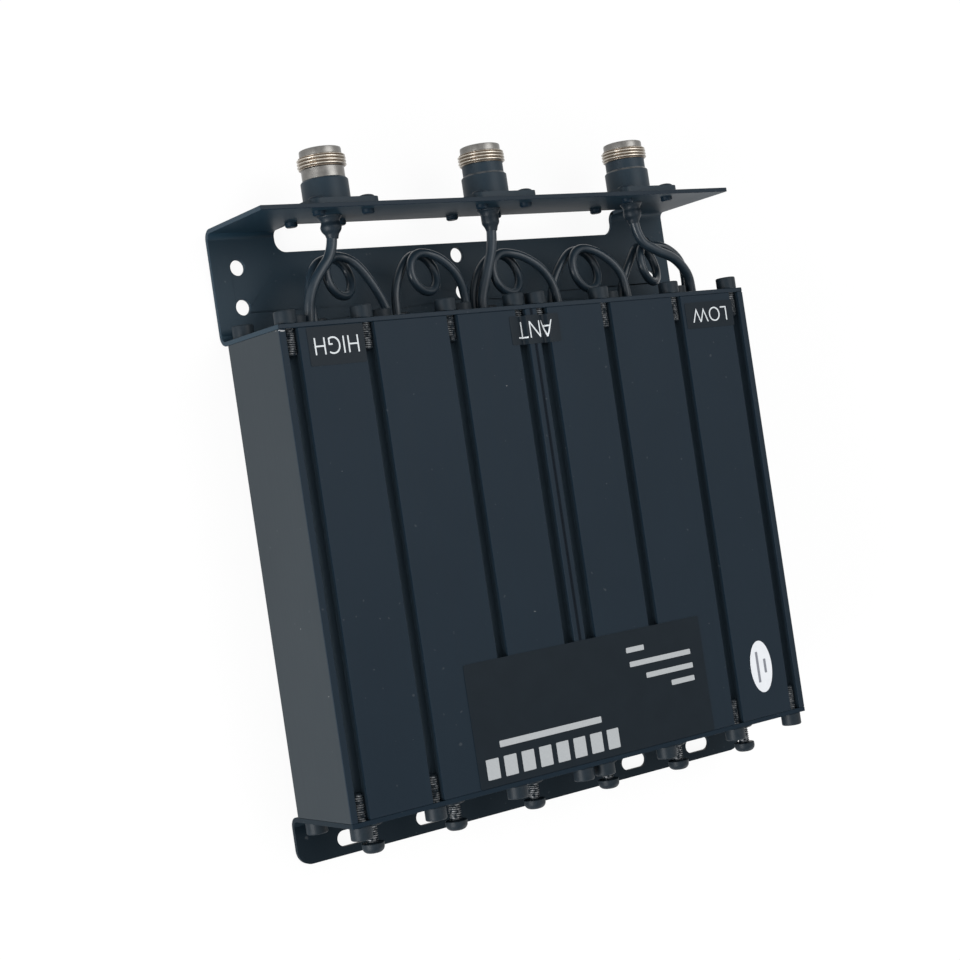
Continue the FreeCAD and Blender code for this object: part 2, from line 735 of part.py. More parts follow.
def cap_screws():
    """Socket head screws: both ends' rows, and the ones that hold the resonator rods."""
    shank = size("screw_diameter") / 2
    head = size("screw_head_diameter") / 2
    height = size("screw_head_height")
    master = master_body("cap_screw")
    turn(master, [(0, -size("screw_length")), (shank, -size("screw_length")), (shank, 0), (head, 0),
                  (head, height), (0, height)])
    dress(master, "Fillet", [round_edge(master.Shape, head, height)], size("screw_head_round"))
    key = new_sketch(master, "XZ_Plane", -height)
    reach = size("screw_key") / math.sqrt(3)
    angles = [math.radians(60 * corner) for corner in range(6)]
    add_outline(key, [(reach * math.cos(angle), reach * math.sin(angle)) for angle in angles])
    pocket(master, key, size("screw_key_depth"), along_normal=True)
    turned_over = Rotation(Vector(0, 0, 1), 180)
    add_group("top_cap_screws", master, [(x, plate_top, z) for x, z in screw_places])
    add_group("bottom_cap_screws", master, [(x, plate_bottom, z) for x, z in screw_places], turned_over)
    add_group("rod_screws", master, [(x, plate_top, cavity_depth) for x in cavity_places])


def lock_nuts():
    """Hexagon nuts under the bottom end plate."""
    master = master_body("lock_nut")
    hexagon = new_sketch(master, "XZ_Plane")
    reach = size("nut_flats") / math.sqrt(3)
    angles = [math.radians(60 * corner) for corner in range(6)]
    add_outline(hexagon, [(reach * math.cos(angle), reach * math.sin(angle)) for angle in angles])
    pad(master, hexagon, size("nut_height"))
    hole = new_sketch(master, "XZ_Plane")
    add_circle(hole, 0, 0, size("tuning_diameter") / 2 + size("fit_gap"))
    pocket(master, hole, size("nut_height"), along_normal=True)
    add_group("lock_nuts", master, [(x, plate_bottom, cavity_depth) for x in cavity_places])


def flange_rivets():
    """Rivets through each flange and the lip: a domed head above, a set tail below."""
    shank = size("rivet_shank") / 2
    head = size("rivet_head_diameter") / 2
    tail = size("rivet_tail_diameter") / 2
    seat = size("flange_thickness")
    top = seat + size("rivet_head_height")
    under = -size("sheet")
    end = under - size("rivet_tail_height")
    master = master_body("rivet")
    turn(master, [(0, end), (tail, end), (tail, under), (shank, under), (shank, seat), (head, seat),
                  (head, top), (0, top)])
    dress(master, "Fillet", [round_edge(master.Shape, head, top)], size("rivet_head_round"))
    dress(master, "Fillet", [round_edge(master.Shape, tail, end)], size("rivet_tail_round"))
    places = [(x + side, lip_top, size("socket_depth") + step) for x in socket_places.values()
              for side in (-rivet_side, rivet_side) for step in (-rivet_side, rivet_side)]
    add_group("flange_rivets", master, places)


def tube(points, radius):
    """A round tube along straight runs that tangent arcs join, each as large as its two runs allow."""
    vectors = [Vector(*[float(length) for length in point]) for point in points]
    edges = []
    radii = []
    here = vectors[0]
    for before, corner, after in zip(vectors, vectors[1:], vectors[2:]):
        arriving = (corner - before).normalize()
        leaving = (after - corner).normalize()
        cut = arc_share * min(corner.distanceToPoint(before), corner.distanceToPoint(after))
        half_turn = arriving.getAngle(leaving) / 2
        radii.append(cut / math.tan(half_turn))
        start = corner - arriving * cut
        end = corner + leaving * cut
        inward = (leaving - arriving).normalize()
        nearest = radii[-1] / math.cos(half_turn) - radii[-1]
        edges.append(Part.LineSegment(here, start).toShape())
        edges.append(Part.Arc(start, corner + inward * nearest, end).toShape())
        here = end
    edges.append(Part.LineSegment(here, vectors[-1]).toShape())
    path = Part.Wire(edges)
    section = Part.Wire(Part.Circle(vectors[0], vectors[1] - vectors[0], float(radius)).toShape())
    solid = path.makePipeShell([section], True, False)
    wanted = math.pi * float(radius) ** 2 * path.Length
    if abs(solid.Volume / wanted - 1) > 0.01:
        raise RuntimeError("a tube's volume isn't its section times its length")
    return solid, path.Length, min(radii)


def add_tube(name, points, diameter):
    solid, length, smallest = tube(points, diameter / 2)
    feature = doc.addObject("Part::Feature", name)
    feature.Label = name
    feature.Shape = solid
    finished.append(feature)
    print(f"{name}: length {length:.1f} mm, smallest radius {smallest:.1f} mm")


def cables():
    for port in port_cable_routes:
        add_tube(f"port_cable_{port}", port_cable_points(port), size("port_cable_diameter"))
    for number in range(1, len(jumper_routes) + 1):
        add_tube(f"jumper_cable_{number}", jumper_points(number), size("jumper_diameter"))


def coupling_loops():
    """A wire loop in each cavity, from the inner conductor of one cable to that of the next."""
    rises = {name: float(plate_top) + rise for name, rise in coupling_rises.items()}
    radius = size("coupling_wire") / 2
    solids = []
    for first, second in coupled_ends:
        (near_x, _, near_z), (far_x, _, far_z) = sorted((cable_ends[first], cable_ends[second]))
        outer = far_x + coupling_spread
        points = [(near_x, rises["end"], near_z), (near_x, rises["bottom"], near_z),
                  (outer, rises["bottom"] - coupling_sag, far_z), (outer + coupling_bow, rises["shoulder"], far_z),
                  (far_x, rises["neck"], far_z), (far_x, rises["end"], far_z)]
        solids.append(tube(points, radius)[0])
    aerial_x, _, aerial_z = cable_ends["ant"]
    wire_x, _, wire_z = cable_ends["jumper_3_start"]
    end, bend, joint = [float(plate_top) + rise for rise in port_wire_rises]
    branch = [(aerial_x, end, aerial_z), (aerial_x, bend, aerial_z), (wire_x + coupling_spread, joint, wire_z)]
    aerial_cavity = port_cable_routes["ant"]["cavity"] - 1
    solids[aerial_cavity] = solids[aerial_cavity].fuse(tube(branch, radius)[0])
    feature = doc.addObject("Part::Feature", "coupling_loops")
    feature.Label = "coupling_loops"
    feature.Shape = Part.makeCompound(solids)
    finished.append(feature)


resonator_block("resonator_block_left", block_middles[0])
resonator_block("resonator_block_right", block_middles[1])
top_bracket()
bottom_bracket()
for number, x in enumerate(cavity_places, start=1):
    resonator_rod(f"resonator_rod_{number}", x)
    tuning_screw(f"tuning_screw_{number}", x)
for port, x in socket_places.items():
    socket(port, x)
    socket_insulator(port, x)
    socket_contact(port, x)
    boot(port, x, boot_bulges[port])
cap_screws()
lock_nuts()
flange_rivets()
cables()
coupling_loops()
doc.recompute()

failed = [thing.Name for thing in doc.Objects if "Invalid" in thing.State or "Error" in thing.State]
if failed:
    raise RuntimeError(f"objects that failed: {failed}")
for thing in finished:
    if thing.Shape.isNull() or not thing.Shape.isValid():
        raise RuntimeError(f"{thing.Label} has no valid shape")

os.makedirs("parts", exist_ok=True)
for thing in finished:
    thing.Shape.exportStep(f"parts/{thing.Label}.step")
print(f"{len(finished)} sub-parts written")
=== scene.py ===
import math

import bmesh
import bpy
from mathutils import Matrix, Vector


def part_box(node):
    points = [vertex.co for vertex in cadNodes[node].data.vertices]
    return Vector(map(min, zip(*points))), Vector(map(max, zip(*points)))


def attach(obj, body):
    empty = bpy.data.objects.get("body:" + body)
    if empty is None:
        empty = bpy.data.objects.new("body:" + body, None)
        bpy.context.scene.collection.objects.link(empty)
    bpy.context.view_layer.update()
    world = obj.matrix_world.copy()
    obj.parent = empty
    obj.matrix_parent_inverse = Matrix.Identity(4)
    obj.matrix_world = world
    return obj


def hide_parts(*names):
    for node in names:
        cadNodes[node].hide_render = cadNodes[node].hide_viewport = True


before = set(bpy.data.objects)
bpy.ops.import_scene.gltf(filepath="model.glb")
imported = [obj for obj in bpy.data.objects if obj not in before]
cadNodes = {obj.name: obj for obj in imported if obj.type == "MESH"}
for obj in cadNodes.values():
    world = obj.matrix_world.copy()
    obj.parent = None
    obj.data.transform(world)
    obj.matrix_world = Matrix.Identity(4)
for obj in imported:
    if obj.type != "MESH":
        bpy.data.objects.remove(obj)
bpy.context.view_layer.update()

# A six-cavity duplexer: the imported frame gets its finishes, threads, cables and print.
# Everything is in metres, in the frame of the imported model; the dictionaries hold millimetres.

mm = 0.001
ports = ("high", "ant", "low")


# Places that several pieces share, read from the frame.

def middleOf(node):
    low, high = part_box(node)
    return (low + high) / 2


blockLow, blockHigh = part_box("resonator_block_left")
rightLow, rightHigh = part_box("resonator_block_right")
sheet = 1.5 * mm
frontZ = blockHigh.z
backZ = blockLow.z
plateTop = blockHigh.y + sheet
plateBottom = blockLow.y - sheet
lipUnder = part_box("boot_high")[1].y
lipTop = lipUnder + sheet
cavityX = [middleOf(f"resonator_rod_{number}").x for number in range(1, 7)]
cavityZ = middleOf("resonator_rod_1").z
socketX = {port: middleOf(f"socket_contact_{port}").x for port in ports}
socketZ = middleOf("socket_contact_high").z
channel = {"edge": 4.5, "inset": 3.1}
channelX = []
for low, high in ((blockLow.x, blockHigh.x), (rightLow.x, rightHigh.x)):
    third = (cavityX[1] - cavityX[0]) / 2
    centre = (low + high) / 2
    channelX += [low + channel["edge"] * mm, centre - third, centre + third, high - channel["edge"] * mm]
screwRows = (frontZ - channel["inset"] * mm, backZ + channel["inset"] * mm)
screwPlaces = [(x, z) for x in channelX for z in screwRows]
print("frame read")


# Shader maths: an expression on wires adds its nodes.

class Wire:
    def __init__(self, tree, socket=None):
        self.tree = tree
        self.socket = socket

    def node(self, kind, settings=None, inputs=None, out=0):
        made = self.tree.nodes.new("ShaderNode" + kind)
        for name, value in (settings or {}).items():
            setattr(made, name, value)
        for name, value in (inputs or {}).items():
            if isinstance(value, Wire):
                self.tree.links.new(value.socket, made.inputs[name])
            else:
                made.inputs[name].default_value = value
        return Wire(self.tree, made.outputs[out]) if made.outputs else None

    def sums(self, operation, first, second):
        return self.node("Math", {"operation": operation}, {0: first, 1: second})

    def __add__(self, other):
        return self.sums("ADD", self, other)

    def __radd__(self, other):
        return self.sums("ADD", other, self)

    def __sub__(self, other):
        return self.sums("SUBTRACT", self, other)

    def __rsub__(self, other):
        return self.sums("SUBTRACT", other, self)

    def __mul__(self, other):
        return self.sums("MULTIPLY", self, other)

    def __rmul__(self, other):
        return self.sums("MULTIPLY", other, self)


def rgb(red, green, blue):
    return (red, green, blue, 1)


def between(start, mask, low, high):      # colour that goes from low to high with the mask
    return start.node("Mix", {"data_type": "RGBA"}, {0: mask, 6: low, 7: high}, out=2)


def ramp(start, value, low, high):        # 0 below low, 1 above high
    return start.node("MapRange", {"clamp": True}, {"Value": value, "From Min": low, "From Max": high})


def nearEdge(start, value, edge, far, near):      # 0 at far mm short of the edge, 1 from near mm short of it
    return ramp(start, value, edge - far * mm, edge - near * mm)


def band(start, value, low, full, fade, high):    # 1 between full and fade, 0 outside low and high, in mm
    return ramp(start, value, low * mm, full * mm) * (1 - ramp(start, value, fade * mm, high * mm))


def mottled(start, mask, shade):
    return between(start, mask, shade["deep"], shade["light"])


def noise(start, place, scale, detail):           # a scale of three numbers stretches it
    if isinstance(scale, tuple):
        place, scale = start.node("Mapping", {}, {"Vector": place, "Scale": scale}), 1.0
    return start.node("TexNoise", {}, {"Vector": place, "Scale": scale, "Detail": detail})


def objectPlace(start):
    return start.node("TexCoord", out="Object")


def along(start, place, axis):
    return start.node("SeparateXYZ", {}, {"Vector": place}, out=axis)


def bump(start, height, strength, depth):
    return start.node("Bump", {}, {"Height": height, "Strength": strength, "Distance": depth * mm})


def finish(name, recipe):
    material = bpy.data.materials.new(name)
    material.use_nodes = True
    tree = material.node_tree
    tree.nodes.clear()
    start = Wire(tree)
    shader = start.node("BsdfPrincipled", {}, recipe(start))
    start.node("OutputMaterial", {}, {"Surface": shader})
    return material


# Finishes. Each tone goes from deep to light; mirror is the strength of the plain gloss.

paint = {
    "rough": 0.46, "blockRough": 0.48, "roughSpread": 0.12, "patches": 38.0, "grain": 2400.0, "grainDepth": 0.03,
    "streaks": (900, 14, 900),
    "specks": {"size": 528.0, "from": 0.74, "full": 0.80, "share": 0.3},
    "blockSpecks": {"size": 480.0, "from": 0.75, "full": 0.80, "share": 0.25},
    # speck is dust, bare is worn metal, and the third colour is painted shade for the gap between the two blocks
    "speck": rgb(0.09, 0.10, 0.11), "bare": rgb(0.34, 0.35, 0.36), "seamShade": rgb(0.0060, 0.0085, 0.0120),
    "block": {"deep": rgb(0.0014, 0.0072, 0.0140), "light": rgb(0.0048, 0.0130, 0.0220), "mirror": 0.125},
    # painted light on the blocks' outer sides: a lighter, greyer copy of the block paint
    "blockSidesPaintedLight": {"deep": rgb(0.0125, 0.0180, 0.0225), "light": rgb(0.0205, 0.0270, 0.0320)},
    # painted light in the screw channels: the wall and floor tones are lighter copies of the block paint that lift
    # the channels' shade
    "channelWallPaintedLight": {"deep": rgb(0.0085, 0.0150, 0.0215), "light": rgb(0.0130, 0.0215, 0.0300)},
    "channelFloorPaintedLight": {"deep": rgb(0.0300, 0.0480, 0.0640), "light": rgb(0.0430, 0.0640, 0.0840)},
    # the top bracket's tone is a lighter copy of the block paint, painted light; the bottom bracket's is a darker
    # copy, painted shade
    "topBracket": {"deep": rgb(0.0060, 0.0168, 0.0275), "light": rgb(0.0105, 0.0250, 0.0375), "mirror": 0.15},
    "bottomBracket": {"deep": rgb(0.0016, 0.0060, 0.0105), "light": rgb(0.0036, 0.0100, 0.0155), "mirror": 0.09},
}
reaches = {                               # mm short of an edge where a tone starts, and from where it is full
    "plateFront": (0.5, 0.2), "channelWallPaintedLight": (2.6, 1.8), "sides": (0.4, 0.1), "faces": (0.9, 0.3),
    "seamShade": (0.50, 0.75),                 # full and gone, in mm from the middle between the two blocks
}
chips = {"corner": (blockLow.x, blockHigh.y, frontZ), "reach": 6.0, "rim": (1.6, 0.6), "wear": 0.32,
         "scale": (450, 1980, 450), "level": 0.80, "edge": 0.04}


def nearTo(start, place, spot, reach):    # 1 at the spot, 0 from the reach on
    gap = start.node("VectorMath", {"operation": "DISTANCE"}, {0: place, 1: spot}, out="Value")
    return 1 - ramp(start, gap, 0.0, reach * mm)


def specked(start, place, colour, specks):
    mask = ramp(start, noise(start, place, specks["size"], 1), specks["from"], specks["full"])
    return between(start, mask * specks["share"], colour, paint["speck"])


def blackPaint(shade):
    def recipe(start):
        place = objectPlace(start)
        patches = noise(start, place, paint["patches"], 5)
        grain = noise(start, place, paint["grain"], 3)
        mottle = patches * 0.7 + grain * 0.3
        # the top bracket's tone carries painted light and the bottom bracket's painted shade; the edges flush with
        # the blocks' fronts keep the block paint's own tone
        front = nearEdge(start, along(start, place, "Z"), frontZ, *reaches["plateFront"])
        colour = between(start, front, mottled(start, mottle, shade), mottled(start, mottle, paint["block"]))
        return {
            "Base Color": specked(start, place, colour, paint["specks"]),
            "Roughness": paint["rough"] + (patches - 0.5) * paint["roughSpread"],
            "Specular IOR Level": shade["mirror"],
            "Normal": bump(start, grain, 0.35, paint["grainDepth"]),
        }
    return recipe


def extrusionPaint(start):
    place = objectPlace(start)
    patches = noise(start, place, paint["patches"], 5)
    streaks = noise(start, place, paint["streaks"], 3)
    grain = noise(start, place, paint["grain"], 3)
    mottle = patches * 0.5 + streaks * 0.3 + grain * 0.2
    x = start.node("Math", {"operation": "ABSOLUTE"}, {0: along(start, place, "X")})
    z = along(start, place, "Z")
    # painted light: below the front faces the colour starts from the much lighter channel floor tone
    colour = mottled(start, mottle, paint["channelFloorPaintedLight"])
    layers = [                            # each tone lies over the ones before it; the channel and side tones are painted light, the block tone is the paint's own
        ("channelWallPaintedLight", z, frontZ, reaches["channelWallPaintedLight"]),
        ("blockSidesPaintedLight", x, rightHigh.x, reaches["sides"]),
        ("block", z, frontZ, reaches["faces"]),
    ]
    for tone, value, edge, reach in layers:
        colour = between(start, nearEdge(start, value, edge, *reach), colour, mottled(start, mottle, paint[tone]))
    full, gone = reaches["seamShade"]
    seamShade = 1 - ramp(start, x, full * mm, gone * mm)  # painted shade of the gap between the two blocks: a dark line that reflects next to nothing
    colour = between(start, seamShade, colour, paint["seamShade"])
    colour = specked(start, place, colour, paint["blockSpecks"])
    rim = nearEdge(start, along(start, place, "Y"), blockHigh.y, *chips["rim"])
    worn = nearTo(start, place, chips["corner"], chips["reach"]) * rim * chips["wear"]
    worn = worn + noise(start, place, chips["scale"], 2)
    chipped = ramp(start, worn, chips["level"], chips["level"] + chips["edge"])
    return {
        "Base Color": between(start, chipped, colour, paint["bare"]),
        # metallic only in the painted shade of the gap, so that it reflects next to nothing
        "Metallic": seamShade,
        "Roughness": paint["blockRough"] + (streaks - 0.5) * paint["roughSpread"],
        "Specular IOR Level": paint["block"]["mirror"],
        "Normal": bump(start, grain + streaks * 0.6, 0.3, paint["grainDepth"]),
    }


def crestOf(start):                       # 1 on a thread's crests, 0 at its root and off the thread
    return start.node("Attribute", {"attribute_name": "crest"}, out="Fac")


blackened = {"deep": rgb(0.0030, 0.0075, 0.0115), "light": rgb(0.0105, 0.0165, 0.0225), "mirror": 0.15,
             "bare": rgb(0.34, 0.35, 0.36), "blotches": 900, "wornFrom": (0.40, 0.62), "grain": 3200}


def blackSteel(shine=0.0):                # blackened steel; with a shine, worn bright on the thread's crests
    def recipe(start):
        place = objectPlace(start)
        blotches = noise(start, place, blackened["blotches"], 4)
        sockets = {
            "Base Color": mottled(start, blotches, blackened),
            "Roughness": 0.40 + blotches * 0.15,
            "Specular IOR Level": blackened["mirror"],
            "Normal": bump(start, noise(start, place, blackened["grain"], 2), 0.2, 0.02),
        }
        if shine:
            worn = crestOf(start) * shine * ramp(start, blotches, *blackened["wornFrom"])
            sockets["Base Color"] = between(start, worn, sockets["Base Color"], blackened["bare"])
            sockets["Roughness"] = sockets["Roughness"] - worn * 0.12
            sockets["Metallic"] = worn * 0.9
        return sockets
    return recipe


smudged = {                               # two tones in smudges (size, detail), roughness and its spread
    "cableJacket": {"deep": rgb(0.0080, 0.0150, 0.0220), "light": rgb(0.0150, 0.0260, 0.0370),
                    "smudges": (260, 4), "rough": (0.24, 0.12), "mirror": 0.28,
                    "grain": (1500, 3), "bump": (0.25, 0.03)},
    "shrinkTube": {"deep": rgb(0.0060, 0.0110, 0.0165), "light": rgb(0.0115, 0.0190, 0.0265),
                   "smudges": (300, 3), "rough": (0.36, 0.14), "mirror": 0.15,
                   "grain": ((250, 1100, 250), 2), "bump": (0.25, 0.06)},
    "labelFilm": {"deep": rgb(0.0016, 0.0052, 0.0090), "light": rgb(0.0036, 0.0084, 0.0132),
                  "smudges": (120, 4), "rough": (0.36, 0.08), "mirror": 0.11,
                  "grain": (900, 2), "bump": (0.12, 0.02)},
    "whiteInsulator": {"deep": rgb(0.70, 0.69, 0.64), "light": rgb(0.82, 0.81, 0.77),
                       "smudges": (500, 3), "rough": (0.35, 0.1)},
    "goldContact": {"deep": rgb(0.68, 0.44, 0.16), "light": rgb(0.83, 0.58, 0.25),
                    "smudges": (900, 3), "rough": (0.22, 0.1), "metal": 1.0},
    "silverPlate": {"deep": rgb(0.66, 0.64, 0.59), "light": rgb(0.84, 0.82, 0.78),
                    "smudges": ((300, 60, 300), 3), "rough": (0.25, 0.12), "metal": 1.0},
    "tinnedWire": {"deep": rgb(0.55, 0.47, 0.36), "light": rgb(0.74, 0.68, 0.58),
                   "smudges": (700, 3), "rough": (0.3, 0.12), "metal": 1.0},
    "whiteInk": {"deep": rgb(0.46, 0.49, 0.51), "light": rgb(0.60, 0.63, 0.65),
                 "smudges": (1500, 3), "rough": (0.5, 0.1)},
    "greyBarInk": {"deep": rgb(0.276, 0.294, 0.306), "light": rgb(0.36, 0.378, 0.39),
                   "smudges": (1500, 3), "rough": (0.5, 0.1)},
    "stickerPaper": {"deep": rgb(0.58, 0.60, 0.63), "light": rgb(0.66, 0.68, 0.71),
                     "smudges": (300, 3), "rough": (0.5, 0.1)},
    "greyInk": {"deep": rgb(0.10, 0.11, 0.13), "light": rgb(0.2, 0.21, 0.24),
                "smudges": (1500, 3), "rough": (0.6, 0)},
}


def smudgedFinish(tone):
    def recipe(start):
        place = objectPlace(start)
        smudges = noise(start, place, *tone["smudges"])
        rough, spread = tone["rough"]
        sockets = {"Base Color": mottled(start, smudges, tone)}
        sockets["Roughness"] = rough + smudges * spread if spread else rough
        if "metal" in tone:
            sockets["Metallic"] = tone["metal"]
        if "mirror" in tone:
            sockets["Specular IOR Level"] = tone["mirror"]
        if "grain" in tone:
            sockets["Normal"] = bump(start, noise(start, place, *tone["grain"]), *tone["bump"])
        return sockets
    return recipe


# finishes for the two brackets: the top one with painted light, the bottom one with painted shade
bracketFinish = {end: finish(f"{end}BracketPaint", blackPaint(paint[f"{end}Bracket"]))
                 for end in ("top", "bottom")}
blockFinish = finish("extrusionPaint", extrusionPaint)
capScrewFinish = finish("capScrewSteel", blackSteel(0.5))
tuningFinish = finish("tuningScrewSteel", blackSteel(0.8))
nutFinish = finish("lockNutSteel", blackSteel())
plain = {name: finish(name, smudgedFinish(tone)) for name, tone in smudged.items()}
print("finishes made")


# Pieces.

def addPiece(name, mesh, material, body="root", at=(0, 0, 0), replaced=()):
    piece = bpy.data.objects.new(name, mesh)
    bpy.context.collection.objects.link(piece)
    piece.location = at
    piece.data.materials.clear()
    piece.data.materials.append(material)
    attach(piece, body)
    if replaced:
        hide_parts(*replaced)
    return piece


def smoothMesh(name, shape, angle=35):
    bmesh.ops.recalc_face_normals(shape, faces=shape.faces)
    mesh = bpy.data.meshes.new(name)
    shape.to_mesh(mesh)
    shape.free()
    mesh.shade_smooth()
    mesh.set_sharp_from_angle(angle=math.radians(angle))
    return mesh


def turned(shape, rows, sides, ring=False):
    # rows are (radius, height) in mm about +Y, and (crest, root) after them on a thread;
    # a radius may be a function of the angle, and 0 is a tip
    crestLayer = shape.verts.layers.float.get("crest") or shape.verts.layers.float.new("crest")
    loops = []
    for radius, height, *thread in rows:
        if radius == 0:
            loops.append([shape.verts.new((0, height * mm, 0))])
            continue
        loop = []
        for side in range(sides):
            angle = 2 * math.pi * side / sides
            reach = (radius(angle) if callable(radius) else radius) * mm
            vertex = shape.verts.new((reach * math.cos(angle), height * mm, reach * math.sin(angle)))
            for crest, root in thread:
                vertex[crestLayer] = (reach / mm - root) / (crest - root)
            loop.append(vertex)
        loops.append(loop)
    pairs = list(zip(loops, loops[1:]))
    if ring:
        pairs.append((loops[-1], loops[0]))
    for one, other in pairs:
        for side in range(sides):
            following = (side + 1) % sides
            if len(one) == 1:
                shape.faces.new((one[0], other[following], other[side]))
            elif len(other) == 1:
                shape.faces.new((one[side], one[following], other[0]))
            else:
                shape.faces.new((one[side], one[following], other[following], other[side]))


def threadRows(start, end, crest, root, pitch, perTurn, fade):
    # rows of a true helix between two heights, with its crests cut down at both ends
    count = math.ceil((end - start) / pitch * perTurn)
    rows = []
    for step in range(count + 1):
        height = start + (end - start) * step / count

        def radius(angle, height=height):
            phase = (height / pitch - angle / (2 * math.pi)) % 1
            tooth = min(1, max(0, (1 - abs(2 * phase - 1) - 0.08) / 0.62))
            limit = root + (crest - root) * min(1, (height - start) / fade, (end - height) / fade)
            return min(root + (crest - root) * tooth, limit)

        rows.append((radius, height, (crest, root)))
    return rows


def arcRows(radius, height, size, first, last, steps=5):     # rows along an arc about (radius, height)
    rows = []
    for step in range(steps + 1):
        angle = math.radians(first + (last - first) * step / steps)
        rows.append((radius + size * math.cos(angle), height + size * math.sin(angle)))
    return rows


def hexagon(flats):                       # radius of a hexagon across its flats
    def radius(angle):
        turn = (angle + math.pi / 6) % (math.pi / 3) - math.pi / 6
        return flats / 2 / math.cos(turn)
    return radius


def smallerOf(shape, limit):
    return lambda angle: min(shape(angle), limit)


def copied(name, build, places, turnedOver=False, angle=35):
    # one mesh that holds a copy of what build draws at each place
    shape = bmesh.new()
    for place in places:
        first = len(shape.verts)
        build(shape)
        shape.verts.ensure_lookup_table()
        for vertex in shape.verts[first:]:
            if turnedOver:
                vertex.co = (-vertex.co.x, -vertex.co.y, vertex.co.z)
            vertex.co += Vector(place)
    return smoothMesh(name, shape, angle)


def closedBetween(shape, low, high):      # caps and sides between two outlines with as many points
    shape.faces.new(list(reversed(low)))
    shape.faces.new(high)
    for index in range(len(low)):
        following = (index + 1) % len(low)
        shape.faces.new((low[index], low[following], high[following], high[index]))


def flatPlate(shape, outline, thickness):      # outline and thickness in mm, from z = 0 up
    low, high = ([shape.verts.new((x * mm, y * mm, z * mm)) for x, y in outline] for z in (0, thickness))
    closedBetween(shape, low, high)


def roundedPlate(shape, width, height, corner, thickness, steps=6):
    outline = []
    for x, y, first in ((1, 1, 0), (-1, 1, 90), (-1, -1, 180), (1, -1, 270)):
        for step in range(steps + 1):
            angle = math.radians(first + 90 * step / steps)
            outline.append((x * (width / 2 - corner) + corner * math.cos(angle),
                            y * (height / 2 - corner) + corner * math.sin(angle)))
    flatPlate(shape, outline, thickness)


def wearEdges(piece, width, angle, harden=False):
    bevel = piece.modifiers.new("edges", "BEVEL")
    bevel.width = width * mm
    bevel.segments = 2
    bevel.limit_method = "ANGLE"
    bevel.angle_limit = math.radians(angle)
    bevel.harden_normals = harden


# Carried-over CAD pieces: worn edges and a finish of their own.

edges = {"block": 0.25, "bracket": 0.22, "angle": 40, "weld": 0.004}       # widths in mm, the angle in degrees


def dressNode(node, material, edge=0.0):
    piece = cadNodes[node]
    piece.data.materials.clear()
    piece.data.materials.append(material)
    if edge:
        weld = piece.modifiers.new("weld", "WELD")
        weld.merge_threshold = edges["weld"] * mm
        wearEdges(piece, edge, edges["angle"], harden=True)


for side in ("left", "right"):
    dressNode(f"resonator_block_{side}", blockFinish, edges["block"])
for end in ("top", "bottom"):
    dressNode(f"{end}_bracket", bracketFinish[end], edges["bracket"])
for number in range(1, 7):
    dressNode(f"resonator_rod_{number}", plain["silverPlate"])
for port in ports:
    dressNode(f"socket_insulator_{port}", plain["whiteInsulator"])
    dressNode(f"socket_contact_{port}", plain["goldContact"])
dressNode("coupling_loops", plain["tinnedWire"])
print("cad pieces dressed")


# Cables. A route's points are (x from its cavity, height above the top plate, z from the cavities' middle).

